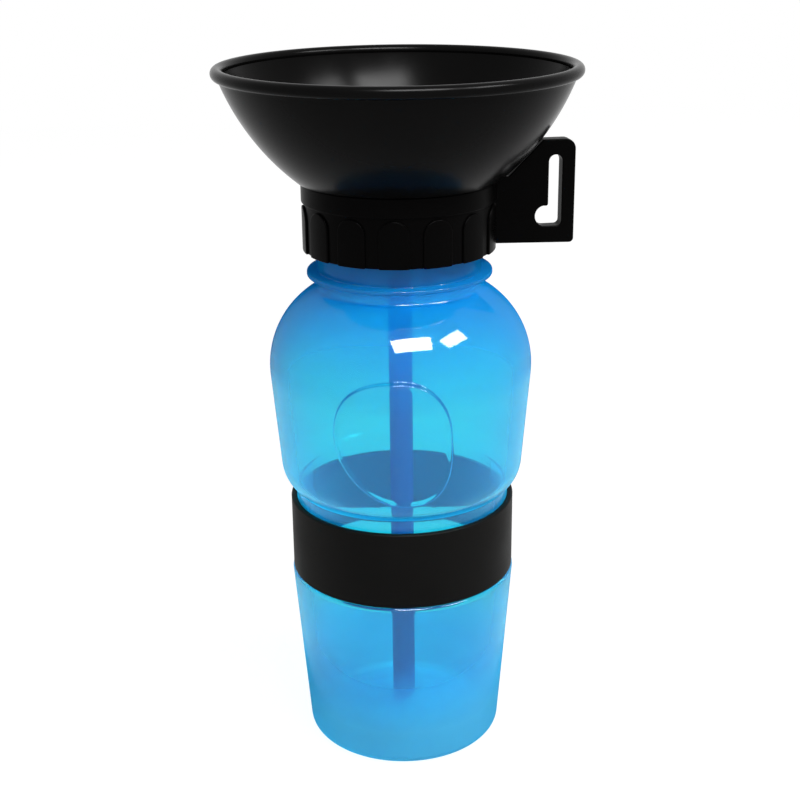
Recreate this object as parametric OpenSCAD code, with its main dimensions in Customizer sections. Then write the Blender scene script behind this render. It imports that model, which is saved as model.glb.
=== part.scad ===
// Dog travel water bottle: a squeeze bottle that fills its own drinking bowl through a dip tube.
// The bottle's axis is Z, its foot stands on z = 0 and the hanger plate points along +X.
// Sizes are in millimetres and angles in degrees.

/* [Bottle] */
// Radius of the cup just above its rounded foot
cup_r = 35; // [30:0.5:42]
// Outward lean of the cup's wall
cup_lean = 4.5; // [3:0.5:6]
// Height of the cup, up to the ledge that carries the band
cup_h = 65.3; // [55:0.1:78]
// Rounding of the foot
foot_round = 4; // [3:0.5:5]
// Width of the ring that the bottle stands on
stand_w = 7; // [4:0.5:9]
// Height of the hollow under the bottle
push_up = 3.5; // [2:0.5:4.5]
// Rounding of the cup's upper edge
cup_round = 1.2; // [0.8:0.1:1.4]
// Depth of the ledge behind the band
ledge = 2.3; // [1.9:0.1:2.8]
// Height of the waist, from the ledge to the crease under the belly
waist_h = 31.6; // [27:0.1:38]
// How far the belly stands out past the waist
belly_out = 7.7; // [6.5:0.1:9.2]
// Rounding of the belly's underside
low_round = 12; // [11:0.5:14]
// Straight length of the belly's side
belly_side = 32.6; // [27:0.1:39]
// Outward lean of the belly's side
belly_lean = 4.8; // [3:0.2:6]
// Rounding of the shoulder
shoulder_round = 31.1; // [28:0.1:34]
// Wall of the bottle
wall = 1.5; // [1.25:0.05:1.8]

/* [Squeeze panel] */
// How far the panel stands out from the belly
panel_out = 0.7; // [0.4:0.1:1]
// Reach of the panel to the left of its middle
panel_left = 22.2; // [18:0.1:24]
// Reach of the panel to the right of its middle
panel_right = 16.7; // [14:0.1:20]
// Reach of the panel above its middle
panel_up = 20.8; // [17:0.1:23]
// Reach of the panel below its middle
panel_down = 23.6; // [20:0.1:25]
// Height of the belly's widest ring above the panel's middle
panel_below = 13.1; // [11:0.1:15]
// Sideways drift of the panel's lower half for each millimetre down
panel_drift = 0.05; // [0:0.01:0.08]
// Turn of the panel from the hanger plate
panel_turn = -99; // [-180:1:180]

/* [Neck] */
// Radius of the plain neck
neck_r = 27.6; // [25:0.1:31]
// Wall of the neck
neck_wall = 2; // [1.8:0.1:2.4]
// Rounding between shoulder and neck
neck_fillet = 3.5; // [2.5:0.1:4.5]
// Plain neck below the flange
flange_gap = 1.9; // [1.5:0.1:3]
// Thickness of the neck flange
flange_t = 1.6; // [1.2:0.1:2]
// How far the flange stands out from the neck
flange_out = 3.8; // [3:0.1:4.5]
// Height from the underside of the flange to the lip
neck_h = 26; // [25.4:0.1:31]

/* [Thread] */
// Rise of the thread in one turn
thread_pitch = 3.175; // [3.1:0.005:3.8]
// Depth of the thread on the neck and in the collar
thread_depth = 1.35; // [1.1:0.05:1.6]
// Turns of the thread on the neck
neck_turns = 1.5; // [1.25:0.05:1.8]
// Turns of the thread in the collar
collar_turns = 1.25; // [1:0.05:1.5]
// Height from the thread's upper end to the lip
thread_drop = 5.3; // [4.5:0.1:6]
// Width of a ridge where it grows out of its wall
ridge_root = 2; // [1.7:0.1:2.1]
// Width of a ridge at its crest
ridge_crest = 0.9; // [0.7:0.1:1]
// Radial gap between a crest and the wall it faces
thread_gap = 0.35; // [0.3:0.05:0.5]

/* [Collar] */
// Wall of the collar between its grip pads
collar_wall = 2.5; // [2.1:0.1:3]
// Height of the collar's skirt below the deck
skirt_h = 18.7; // [18.4:0.1:22]
// Thickness of the deck
deck_t = 2.2; // [1.8:0.1:2.6]
// Height of the rim round the bowl's foot
rim_h = 2; // [1.8:0.1:2.4]
// How far the smooth ring stands out from the wall
ring_out = 0.8; // [0.5:0.1:1]
// Height of the smooth ring
ring_h = 6.5; // [5:0.1:7.8]
// Number of grip pads
pads = 14; // [10:1:16]
// Width of a grip pad
pad_w = 10; // [8:0.5:12]
// How far a pad stands out from the wall
pad_out = 0.7; // [0.4:0.1:1]
// Gap between the pads' tops and the smooth ring
pad_gap = 0.8; // [0.5:0.1:1.5]
// Turn of the first pad from the hanger plate
pad_turn = -102; // [-180:1:180]

/* [Hanger] */
// Reach of the hanger plate from the axis
hanger_reach = 59.8; // [56:0.1:60]
// Thickness of the hanger plate
hanger_t = 5.2; // [4:0.1:6.2]
// Height of the plate's top edge above the rim of the collar
hanger_rise = 11.6; // [9.6:0.1:12.6]
// Gap between the bowl's wall and the upper end of the plate's slope
hanger_gap = 3.52; // [2.6:0.02:4.2]
// Level stretch between the collar and the foot of the slope
hanger_step = 4.3; // [4:0.1:6]
// How far the lower edge falls from collar to corner
hanger_drop = 0.8; // [0:0.1:1]
// Rounding of the plate's upper corner
hanger_round = 3.5; // [2.5:0.1:4]
// Rounding of the plate's lower corner
hanger_low_round = 1.5; // [1:0.1:2]
// Width of the slot
slot_w = 4.6; // [4.3:0.1:5]
// Plate left outside the slot
slot_rib = 4.5; // [4:0.1:5.2]
// Plate left above the slot
slot_top = 5.2; // [4.5:0.1:6.2]
// Plate left below the slot
slot_sill = 5.2; // [4.5:0.1:6.2]
// Radius of the lobe at the slot's foot
lobe_r = 3.5; // [3:0.1:4]
// Distance from the slot's outer side to the lobe's middle
lobe_back = 5.6; // [5.2:0.1:6]

/* [Valve] */
// Radius of the well that takes the bowl's hub
well_r = 12.5; // [11.5:0.1:14]
// Wall of the well and of the boss below it
well_wall = 1.8; // [1.5:0.1:2.2]
// Height from the deck's top to the floor of the well
well_depth = 11.3; // [10.9:0.1:12.5]
// Thickness of the well's floor
well_floor = 2; // [1.6:0.1:2.4]
// How far the bore of the boss under the well clears the ports
boss_clear = 0.8; // [0.5:0.1:1.2]
// Height of the boss under the well
boss_h = 11; // [10:0.1:12.5]
// Inner radius of a port
port_in = 3.2; // [2.8:0.1:3.6]
// Step between a port and the rotor's sleeve
port_step = 0.65; // [0.3:0.05:1.2]
// Angle that a port spans
port_span = 70; // [50:1:80]
// Thickness of the valve seat
seat_t = 1.6; // [1.3:0.1:2]
// Radius of the pegs that keep the seat from turning
peg_r = 0.9; // [0.7:0.1:1.1]
// Distance of the pegs from the well's wall
peg_in = 2.5; // [2.1:0.1:2.7]
// Thickness of the valve rotor's disc
rotor_t = 2; // [1.6:0.1:2.3]
// Space between the rotor's sleeve and the outlet guard
sleeve_space = 1.85; // [1:0.05:2.4]
// Wall of the rotor's sleeve
sleeve_wall = 1.5; // [1.2:0.1:1.7]
// Width of the keys between rotor and hub
key_w = 2; // [1.6:0.1:2.4]
// Height of the keys
key_h = 3.5; // [3:0.1:4]
// Wall of the bowl's hub
hub_wall = 3.2; // [2.9:0.1:3.4]
// Thickness of the hub's round seal
o_ring_t = 2; // [1.8:0.1:2.2]
// Height of the round seal's middle below the deck's top
o_ring_down = 1.9; // [1.6:0.1:2.2]

/* [Bowl] */
// Outer radius of the bowl's rim
bowl_r = 60.25; // [56:0.25:72]
// Height of the bowl, from its underside to the top of the rim
bowl_h = 37.4; // [33:0.1:45]
// How far the bowl's underside stands out past the collar's ring
bowl_base_out = 1.15; // [0.6:0.05:2.4]
// Bulge of the bowl's wall past a straight line
bowl_bow = 3.05; // [2:0.05:4]
// Wall of the bowl
bowl_wall = 2; // [1.6:0.1:2.4]
// Radius of the rolled rim
bead_r = 2; // [1.8:0.05:2.4]
// How far the wall's outer face lies outside the middle of the rolled rim
bead_lead = 0.45; // [0.35:0.05:0.6]
// Thickness of the bowl's floor
floor_t = 2; // [1.6:0.1:2.6]
// Fall of the floor towards the outlet
floor_fall = 0.8; // [0.3:0.1:1]
// Wall of the foot ring that snaps into the collar
foot_wall = 2.2; // [1.8:0.1:2.6]
// Depth of the snap between foot ring and rim
snap = 0.8; // [0.6:0.1:1]
// Height of the snap bead on the foot ring
snap_h = 0.6; // [0.5:0.1:0.7]
// Thickness of the outlet guard's flange
guard_t = 1.1; // [0.9:0.1:1.2]
// How far the guard's flange reaches past the hub's bore
guard_out = 2; // [1.6:0.1:2.4]
// Depth of the guard's skirt
guard_skirt = 4; // [3:0.1:4.4]
// Number of holes round the outlet guard
guard_holes = 6; // [4:1:8]
// Radius of each hole
guard_hole_r = 1.5; // [1.2:0.1:1.7]

/* [Tube, seal and band] */
// Outer radius of the dip tube
tube_r = 4.1; // [3.6:0.1:4.6]
// Wall of the dip tube
tube_wall = 1; // [0.8:0.1:1.2]
// Gap between the bottle's floor and the tube's lower end
tube_gap = 2.2; // [1.6:0.1:7]
// Slant of the tube's lower end
tube_cut = 20; // [0:1:30]
// Length of the grommet inside the boss
grommet_h = 8; // [7:0.1:8.4]
// Thickness of the grommet's flange
grommet_flange = 1.2; // [1:0.1:1.6]
// Thickness of the neck seal
seal_t = 1.4; // [1.2:0.1:1.8]
// Thickness of the band
band_t = 2; // [1.6:0.1:2.4]
// Bare waist left above the band
band_space = 4.3; // [3:0.1:8]
// Bevel of the band's edges
band_bevel = 0.4; // [0.2:0.1:0.6]

/* [Clearances] */
// Gap between pieces that sit on each other
seat_gap = 0.05; // [0.02:0.01:0.1]
// Gap between pieces that turn on each other
turn_gap = 0.3; // [0.2:0.05:0.4]

/* [Hidden] */
$fn = 96;

arc_steps = 8;      // segments in a short arc
long_steps = 16;    // segments in a long arc
panel_steps = 40;   // segments round the squeeze panel
thread_steps = 60;  // segments in one turn of thread
thread_fade = 6;    // segments over which a thread dies away
thread_stub = 0.1;  // share of its depth that a thread keeps at its ends
root_in = 0.8;      // how deep a thread is rooted in its wall
plate_in = 0.4;     // how deep the hanger plate is rooted in the collar's wall
plate_low = 0.2;    // how far the plate's level stretch lies below the collar's rim
peg_share = 0.8;    // share of the valve seat that a peg fills
key_short = 0.6;    // how far a key ends short of the hub's outside
over = 1;           // how far a cut runs past what it cuts

// Cup and waist
foot_c = cup_r - foot_round;
foot_in = foot_c - stand_w;
dome_r = (foot_in * foot_in + push_up * push_up) / (2 * push_up);
ledge_z = cup_h;
ledge_c = foot_c + (ledge_z - cup_round - foot_round) * tan(cup_lean)
    + (foot_round - cup_round) / cos(cup_lean);
cup_line = foot_c * cos(cup_lean) - foot_round * sin(cup_lean) + foot_round;
waist_r = ledge_c + cup_round - ledge;
crease_z = ledge_z + waist_h;
band_h = waist_h - band_space;

// Belly and shoulder
belly_r = waist_r + belly_out;
shoulder_c = belly_r - shoulder_round;
low_c = shoulder_c + (shoulder_round - low_round) * cos(belly_lean) - belly_side * sin(belly_lean);
low_z = crease_z + sqrt(pow(low_round, 2) - pow(waist_r - low_c, 2));
belly_z = low_z + (shoulder_round - low_round) * sin(belly_lean) + belly_side * cos(belly_lean);
belly_line = shoulder_c * cos(belly_lean) - belly_z * sin(belly_lean) + shoulder_round;
panel_z = belly_z - panel_below;

// Neck
fillet_reach = neck_r + neck_fillet - shoulder_c;
fillet_a = acos(fillet_reach / (shoulder_round + neck_fillet));
fillet_z = belly_z + (shoulder_round + neck_fillet) * sin(fillet_a);
flange_z = fillet_z + flange_gap;
lip_z = flange_z + neck_h;
neck_bore_r = neck_r - neck_wall;
thread_z = lip_z - thread_drop - neck_turns * thread_pitch;

// Collar
collar_bore_r = neck_r + thread_depth + thread_gap;
collar_r = collar_bore_r + collar_wall;
ring_r = collar_r + ring_out;
pad_r = collar_r + pad_out;
deck_z = lip_z + seal_t + 2 * seat_gap;
deck_top = deck_z + deck_t;
skirt_z = deck_z - skirt_h;
rim_z = deck_top + rim_h;
ring_z = rim_z - ring_h;
pad_top = ring_z - pad_gap;
well_z = deck_top - well_depth;
well_base = well_z - well_floor;
boss_z = well_base - boss_h;

// Valve
hub_r = well_r - turn_gap;
hub_bore_r = hub_r - hub_wall;
sleeve_r = hub_bore_r - seat_gap;
port_out = sleeve_r - sleeve_wall - port_step;
boss_r = port_out + boss_clear;
boss_out = boss_r + well_wall;
peg_at = well_r - peg_in;

// Bowl
floor_z = rim_z + turn_gap;
foot_r = collar_bore_r + snap;
rim_in_r = foot_r + snap + turn_gap;
rim_bead_r = foot_r + turn_gap;
foot_z = deck_top + turn_gap;
hub_z = well_z + seat_t + rotor_t + 3 * seat_gap;
groove_z = deck_top - o_ring_down;
o_ring_r = well_r - seat_gap - o_ring_t / 2;
groove_r = o_ring_r - o_ring_t / 2 - seat_gap;
rim_c = [bowl_r - bead_r, floor_z + bowl_h - bead_r];
bowl_foot = [ring_r + bowl_base_out, floor_z];
bowl_tip = rim_c + [bead_lead, 0];
bowl_chord = norm(bowl_tip - bowl_foot);
bowl_arc_r = (pow(bowl_chord / 2, 2) + bowl_bow * bowl_bow) / (2 * bowl_bow);
bowl_dir = (bowl_tip - bowl_foot) / bowl_chord;
bowl_c = (bowl_tip + bowl_foot) / 2 + [-bowl_dir[1], bowl_dir[0]] * (bowl_arc_r - bowl_bow);
bowl_a0 = atan2(bowl_foot[1] - bowl_c[1], bowl_foot[0] - bowl_c[0]);
bowl_a1 = atan2(bowl_tip[1] - bowl_c[1], bowl_tip[0] - bowl_c[0]);
floor_top = floor_z + floor_t;
bowl_in_r = bowl_arc_r - bowl_wall;
bowl_in_a0 = asin((floor_top + floor_fall - bowl_c[1]) / bowl_in_r);
guard_r = hub_bore_r + guard_out;
guard_z = floor_top - guard_t;
guard_low = guard_z - guard_skirt;

// Hanger
hanger_x = collar_r - plate_in;
hanger_z = rim_z - plate_low;
hanger_top = rim_z + hanger_rise;
slot_x = hanger_reach - slot_rib;
slot_z = skirt_z + slot_sill;

// Tube
grommet_top = boss_z + grommet_h;
tube_end = push_up + wall + tube_gap;

// Points along an arc round c, from angle a0 to a1
function arc(c, r, a0, a1, n) = [for (i = [0:n]) let (a = a0 + (a1 - a0) * i / n) c + r * [cos(a), sin(a)]];

// Radius of a leaning straight side at height z, offset inwards by w
function lean_r(line, lean, z, w) = (line - w + z * sin(lean)) / cos(lean);

// Outer radius of the bowl's wall at height z
function bowl_wall_r(z) = bowl_c[0] + sqrt(pow(bowl_arc_r, 2) - pow(z - bowl_c[1], 2));

// Half outline of the bottle below the neck, offset inwards by w, from the axis to the shoulder's end
function bottle_outline(w, end_a) = concat(
    arc([0, push_up - dome_r], dome_r + w, 90,
        asin((dome_r - push_up + w) / (dome_r + w)), arc_steps),
    arc([foot_c, foot_round], foot_round - w, -90, -cup_lean, arc_steps),
    cup_round > w
        ? arc([ledge_c, ledge_z - cup_round], cup_round - w, -cup_lean, 90, arc_steps)
        : [[lean_r(cup_line, cup_lean, ledge_z - w, w), ledge_z - w]],
    [[waist_r - w, ledge_z - w]],
    arc([low_c, low_z], low_round - w, -acos((waist_r - w - low_c) / (low_round - w)), -belly_lean, arc_steps),
    arc([shoulder_c, belly_z], shoulder_round - w, -belly_lean, end_a, long_steps));

// Half outline of the neck, outside, from the shoulder's end to the lip
function neck_outline() = concat(
    arc([neck_r + neck_fillet, fillet_z], neck_fillet, 180 + fillet_a, 180, arc_steps),
    [[neck_r, flange_z], [neck_r + flange_out, flange_z], [neck_r + flange_out, flange_z + flange_t],
     [neck_r, flange_z + flange_t], [neck_r, lip_z], [0, lip_z]]);

// Outline of the squeeze panel, seen from outside
function panel_outline() = [for (i = [0:panel_steps - 1]) let (a = 360 * i / panel_steps,
    x = cos(a) * (cos(a) < 0 ? panel_left : panel_right),
    y = sin(a) * (sin(a) > 0 ? panel_up : panel_down)) [x + panel_drift * max(0, -y), y]];

// A leaning band over the belly's side, from w_out outside it to w_in inside it
function panel_shell(w_out, w_in) = let (top_a = 30, low = panel_z - panel_down - over) concat(
    [[lean_r(belly_line, belly_lean, low, -w_out), low]],
    arc([shoulder_c, belly_z], shoulder_round + w_out, -belly_lean, top_a, arc_steps),
    arc([shoulder_c, belly_z], shoulder_round - w_in, top_a, -belly_lean, arc_steps),
    [[lean_r(belly_line, belly_lean, low, w_in), low]]);

// A helical ridge from its root radius to its crest, climbing one pitch a turn and dying away at both ends
module thread_ridge(root_r, crest_r, z, turns) {
    n = round(turns * thread_steps);
    inward = crest_r < root_r;
    sections = [for (i = [0:n])
        let (a = 360 * turns * i / n,
             grown = max(thread_stub, min(1, i / thread_fade, (n - i) / thread_fade)),
             tip_r = root_r + (crest_r - root_r) * grown,
             near = inward ? [tip_r, ridge_crest / 2] : [root_r, ridge_root / 2],
             far = inward ? [root_r, ridge_root / 2] : [tip_r, ridge_crest / 2],
             h = z + thread_pitch * turns * i / n)
        for (p = [[near[0], -near[1]], [far[0], -far[1]], [far[0], far[1]], [near[0], near[1]]])
            [p[0] * cos(a), p[0] * sin(a), h + p[1]]];
    sides = [for (i = [0:n - 1], j = [0:3])
        let (k = (j + 1) % 4)
        for (f = [[4 * i + j, 4 * i + k, 4 * i + 4 + k], [4 * i + j, 4 * i + 4 + k, 4 * i + 4 + j]]) f];
    ends = [[0, 3, 2], [0, 2, 1], [4 * n, 4 * n + 1, 4 * n + 2], [4 * n, 4 * n + 2, 4 * n + 3]];
    polyhedron(sections, concat(sides, ends));
}

// A ring about the axis
module tube(r_out, r_in, z0, z1) {
    difference() {
        translate([0, 0, z0]) cylinder(r = r_out, h = z1 - z0);
        translate([0, 0, z0 - over]) cylinder(r = r_in, h = z1 - z0 + 2 * over);
    }
}

// The two kidney-shaped ports, as cutters from z0 to z1, the first one at angle a
module ports(a, z0, z1) {
    for (side = [0, 180])
        rotate([0, 0, a + side])
            intersection() {
                tube(port_out, port_in, z0, z1);
                translate([0, 0, z0])
                    linear_extrude(z1 - z0)
                        polygon([[0, 0], 2 * port_out * [cos(port_span / 2), -sin(port_span / 2)],
                                 2 * port_out * [cos(port_span / 2), sin(port_span / 2)]]);
            }
}

// Squeeze bottle with its neck, panel and thread
module bottle() {
    color([0.2, 0.65, 0.9, 0.55]) {
        difference() {
            union() {
                rotate_extrude() polygon(concat(bottle_outline(0, fillet_a), neck_outline()));
                intersection() {
                    rotate_extrude() polygon(panel_shell(panel_out, wall / 2));
                    rotate([0, 0, panel_turn])
                        translate([shoulder_c, 0, panel_z])
                            rotate([90, 0, 90]) linear_extrude(2 * shoulder_round) polygon(panel_outline());
                }
            }
            rotate_extrude()
                polygon(concat(bottle_outline(wall, acos((neck_bore_r - shoulder_c) / (shoulder_round - wall))),
                    [[neck_bore_r, lip_z + over], [0, lip_z + over]]));
        }
        thread_ridge(neck_r - root_in, neck_r + thread_depth, thread_z, neck_turns);
    }
}

// Rubber band round the waist
module grip_band() {
    r0 = waist_r + seat_gap;
    r1 = r0 + band_t;
    z0 = ledge_z + seat_gap;
    z1 = z0 + band_h;
    color([0.09, 0.09, 0.09])
        rotate_extrude()
            polygon([[r0, z0], [r1 - band_bevel, z0], [r1, z0 + band_bevel],
                     [r1, z1 - band_bevel], [r1 - band_bevel, z1], [r0, z1]]);
}

// Flat gasket on the bottle's lip
module neck_seal() {
    color([0.8, 0.82, 0.82])
        tube(collar_bore_r - turn_gap, neck_bore_r + turn_gap, lip_z + seat_gap, lip_z + seat_gap + seal_t);
}

// Section of the collar: boss, well, skirt, smooth ring and rim
module collar_ring() {
    bead_z = foot_z + snap_h + turn_gap;
    rotate_extrude()
        polygon([[boss_r, boss_z], [boss_out, boss_z], [boss_out, well_base], [well_r + well_wall, well_base],
                 [well_r + well_wall, deck_z], [collar_bore_r, deck_z], [collar_bore_r, skirt_z],
                 [collar_r, skirt_z], [collar_r, ring_z], [ring_r, ring_z], [ring_r, rim_z],
                 [rim_bead_r, rim_z], [rim_bead_r, bead_z], [rim_in_r, bead_z], [rim_in_r, deck_top],
                 [well_r, deck_top], [well_r, well_z], [0, well_z], [0, well_base], [boss_r, well_base]]);
}

// Round-topped pads that the fingers grip
module grip_pads() {
    intersection() {
        tube(pad_r, collar_r - turn_gap, skirt_z, pad_top);
        union() {
            for (i = [0:pads - 1])
                rotate([0, 0, pad_turn + i * 360 / pads])
                    translate([collar_bore_r, 0, 0])
                        rotate([90, 0, 90])
                            linear_extrude(pad_r - collar_bore_r + over) {
                                translate([-pad_w / 2, skirt_z - over])
                                    square([pad_w, pad_top - pad_w / 2 - skirt_z + over]);
                                translate([0, pad_top - pad_w / 2]) circle(pad_w / 2);
                            }
        }
    }
}

// Half outline of the hanger plate in the XZ plane
function hanger_outline() = let (low = skirt_z - hanger_drop) concat(
    [[hanger_x, skirt_z]],
    arc([hanger_reach - hanger_low_round, low + hanger_low_round], hanger_low_round, -90, 0, arc_steps),
    arc([hanger_reach - hanger_round, hanger_top - hanger_round], hanger_round, 0, 90, arc_steps),
    [[bowl_wall_r(hanger_top) + hanger_gap, hanger_top], [ring_r + hanger_step, hanger_z],
     [hanger_x, hanger_z]]);

// J-shaped slot: a long slot with a round lobe at its foot
module hanger_slot() {
    slot_mid = slot_x - slot_w / 2;
    slot_high = hanger_top - slot_top - slot_w / 2;
    slot_low = slot_z + hanger_low_round;
    translate([slot_x - slot_w, slot_low]) square([slot_w, slot_high - slot_low]);
    translate([slot_mid, slot_high]) circle(slot_w / 2);
    translate([slot_x - hanger_low_round, slot_low]) circle(hanger_low_round);
    translate([slot_x - lobe_back, slot_z]) square([lobe_back - hanger_low_round, 2 * lobe_r]);
    translate([slot_x - lobe_back, slot_z + lobe_r]) circle(lobe_r);
}

// Threaded collar with the hanger plate
module screw_collar() {
    color([0.05, 0.05, 0.05]) {
        difference() {
            union() {
                collar_ring();
                grip_pads();
                rotate([90, 0, 0])
                    translate([0, 0, -hanger_t / 2])
                        linear_extrude(hanger_t)
                            difference() {
                                polygon(hanger_outline());
                                hanger_slot();
                            }
                for (a = [0, 180])
                    rotate([0, 0, a])
                        translate([peg_at, 0, well_z - seat_gap]) cylinder(r = peg_r, h = peg_share * seat_t);
            }
            ports(90, well_base - over, well_z + over);
        }
        thread_ridge(collar_bore_r + root_in, collar_bore_r - thread_depth,
            thread_z - thread_pitch / 2, collar_turns);
    }
}

// Soft disc on the floor of the well
module valve_seat() {
    z0 = well_z + seat_gap;
    color([0.8, 0.82, 0.82])
        difference() {
            translate([0, 0, z0]) cylinder(r = well_r - turn_gap, h = seat_t - seat_gap);
            ports(90, z0 - over, z0 + seat_t + over);
            for (a = [0, 180])
                rotate([0, 0, a])
                    translate([peg_at, 0, z0 - over])
                        cylinder(r = peg_r + seat_gap, h = seat_t + 2 * over);
        }
}

// Ported disc with a sleeve and keys that turn with the bowl's hub
module valve_rotor() {
    z0 = well_z + seat_t + seat_gap;
    z1 = z0 + rotor_t;
    sleeve_h = guard_low - sleeve_space - z1;
    key_reach = hub_r - key_short;
    color([0.75, 0.76, 0.78])
        difference() {
            union() {
                translate([0, 0, z0]) cylinder(r = hub_r, h = rotor_t);
                translate([0, 0, z0]) cylinder(r = sleeve_r, h = rotor_t + sleeve_h);
                translate([-key_reach, -key_w / 2, z0]) cube([2 * key_reach, key_w, rotor_t + key_h]);
            }
            translate([0, 0, z1]) cylinder(r = sleeve_r - sleeve_wall, h = sleeve_h + over);
            ports(0, z0 - over, z1 + over);
        }
}

// Round seal in the groove of the bowl's hub
module hub_o_ring() {
    color([0.8, 0.82, 0.82])
        translate([0, 0, groove_z]) rotate_extrude() translate([o_ring_r, 0]) circle(o_ring_t / 2);
}

// Section of the bowl: hub with its groove, floor, foot ring, wall and rolled rim
module bowl_shell() {
    g0 = groove_z - o_ring_t / 2 - seat_gap;
    g1 = groove_z + o_ring_t / 2 + seat_gap;
    foot_bead_r = foot_r + snap;
    guard_seat = guard_z - seat_gap;
    rotate_extrude() {
        translate(rim_c) circle(bead_r);
        polygon(concat(
            [[hub_bore_r, hub_z], [hub_r, hub_z], [hub_r, g0], [groove_r, g0], [groove_r, g1], [hub_r, g1],
             [hub_r, floor_z], [foot_r - foot_wall, floor_z], [foot_r - foot_wall, foot_z], [foot_bead_r, foot_z],
             [foot_bead_r, foot_z + snap_h], [foot_r, foot_z + snap_h], [foot_r, floor_z]],
            arc(bowl_c, bowl_arc_r, bowl_a0, bowl_a1, long_steps),
            arc(bowl_c, bowl_in_r, bowl_a1, bowl_in_a0, long_steps),
            [[guard_r + seat_gap, floor_top], [guard_r + seat_gap, guard_seat], [hub_bore_r, guard_seat]]));
    }
}

// Drinking bowl, keyed to the valve's rotor
module bowl() {
    color([0.05, 0.05, 0.05])
        difference() {
            bowl_shell();
            translate([-hub_r - over, -key_w / 2 - seat_gap, hub_z - over])
                cube([2 * (hub_r + over), key_w + 2 * seat_gap, key_h + over]);
        }
}

// Holed plug in the middle of the bowl's floor
module outlet_guard() {
    color([0.07, 0.07, 0.07])
        difference() {
            union() {
                translate([0, 0, guard_z]) cylinder(r = guard_r, h = guard_t);
                tube(sleeve_r, sleeve_r - sleeve_wall, guard_low, guard_z + guard_t / 2);
            }
            for (i = [0:guard_holes - 1])
                rotate([0, 0, i * 360 / guard_holes])
                    translate([sleeve_r / 2, 0, guard_z - over])
                        cylinder(r = guard_hole_r, h = guard_t + 2 * over);
        }
}

// Tube that the water climbs
module dip_tube() {
    color([0.15, 0.4, 0.8, 0.7])
        difference() {
            tube(tube_r, tube_r - tube_wall, tube_end, grommet_top);
            translate([-tube_r, 0, tube_end])
                rotate([0, -tube_cut, 0])
                    translate([-tube_r, -2 * tube_r, -4 * tube_r]) cube([6 * tube_r, 4 * tube_r, 4 * tube_r]);
        }
}

// Soft plug that holds the tube in the collar's boss
module tube_grommet() {
    color([0.8, 0.82, 0.82])
        difference() {
            union() {
                translate([0, 0, boss_z]) cylinder(r = boss_r - seat_gap, h = grommet_h);
                translate([0, 0, boss_z - seat_gap - grommet_flange])
                    cylinder(r = boss_out, h = grommet_flange);
                translate([0, 0, boss_z - grommet_flange])
                    cylinder(r = boss_r - seat_gap, h = grommet_flange);
            }
            translate([0, 0, boss_z - grommet_flange - over])
                cylinder(r = tube_r + seat_gap, h = grommet_h + grommet_flange + 2 * over);
        }
}

bottle();
grip_band();
neck_seal();
screw_collar();
valve_seat();
valve_rotor();
hub_o_ring();
bowl();
outlet_guard();
dip_tube();
tube_grommet();
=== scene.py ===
"""Looks of a dog travel water bottle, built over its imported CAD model.

The classes hold their sizes in millimetres, in the CAD frame: Z is up, the bottle's foot
stands on z = 0 and the hanger plate points along +X. Meshes are made in metres.
"""

import logging
import math
from dataclasses import dataclass, field
from enum import Enum
from typing import Any, Sequence

import bmesh
import bpy
from mathutils import Matrix, Vector


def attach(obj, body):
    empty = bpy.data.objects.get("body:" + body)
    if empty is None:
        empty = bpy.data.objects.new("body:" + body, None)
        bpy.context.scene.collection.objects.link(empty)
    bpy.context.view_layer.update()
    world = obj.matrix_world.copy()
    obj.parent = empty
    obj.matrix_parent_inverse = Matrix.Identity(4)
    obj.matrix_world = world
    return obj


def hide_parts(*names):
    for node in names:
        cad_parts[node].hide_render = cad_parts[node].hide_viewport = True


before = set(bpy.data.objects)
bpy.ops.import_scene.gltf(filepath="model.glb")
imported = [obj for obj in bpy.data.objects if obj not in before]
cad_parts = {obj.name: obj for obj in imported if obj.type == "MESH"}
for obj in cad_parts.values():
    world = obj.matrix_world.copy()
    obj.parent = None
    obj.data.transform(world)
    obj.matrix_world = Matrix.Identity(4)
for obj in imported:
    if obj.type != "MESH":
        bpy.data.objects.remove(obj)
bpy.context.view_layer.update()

LOG = logging.getLogger("water_bottle")
MM = 0.001
ROUND_STEPS = 192
ARC_STEPS = 36
THREAD_STEPS = 72
THREAD_END = 0.08

Point = tuple[float, float]
Corner = tuple[float, float, float]
Place = tuple[float, float, float]
Colour = tuple[float, float, float]
BMesh = bmesh.types.BMesh


class Slot(Enum):
    """The record's material slots."""

    BOTTLE = "blue_translucent"
    BAND = "band_rubber"
    BLACK = "black_plastic"
    TUBE = "blue_tube"
    SEAL = "seal_rubber"
    ROTOR = "white_plastic"


class Body(Enum):
    """The CAD bodies that pieces ride on."""

    BOTTLE = "bottle"
    COLLAR = "collar"
    BOWL = "bowl"


# Sections


def arc(centre: Point, radius: float, start: float, end: float, steps: int) -> list[Corner]:
    """Corners along an arc.

    Args:
        centre: the arc's middle, as radius and height.
        radius: the arc's own radius.
        start: first angle in degrees, from +r towards +z.
        end: last angle in degrees.
        steps: number of segments.

    Returns:
        The corners, none of them rounded.
    """
    turns = [math.radians(start + (end - start) * i / steps) for i in range(steps + 1)]
    return [(centre[0] + radius * math.cos(t), centre[1] + radius * math.sin(t), 0.0) for t in turns]


def rounded(corners: Sequence[Corner], first: float = 0.0, last: float = 0.0) -> list[Corner]:
    """The same corners, with these roundings for the first and the last of them."""
    return [(*corners[0][:2], first), *corners[1:-1], (*corners[-1][:2], last)]


def circle(centre: Point, radius: float, steps: int) -> list[Point]:
    """Evenly spaced points round a circle."""
    return [(x, y) for x, y, _ in arc(centre, radius, 0, 360 - 360 / steps, steps - 1)]


def bowed(half: float, rise: float) -> float:
    """Radius of the arc that rises this much over half of its chord."""
    return (half ** 2 + rise ** 2) / (2 * rise)


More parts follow.
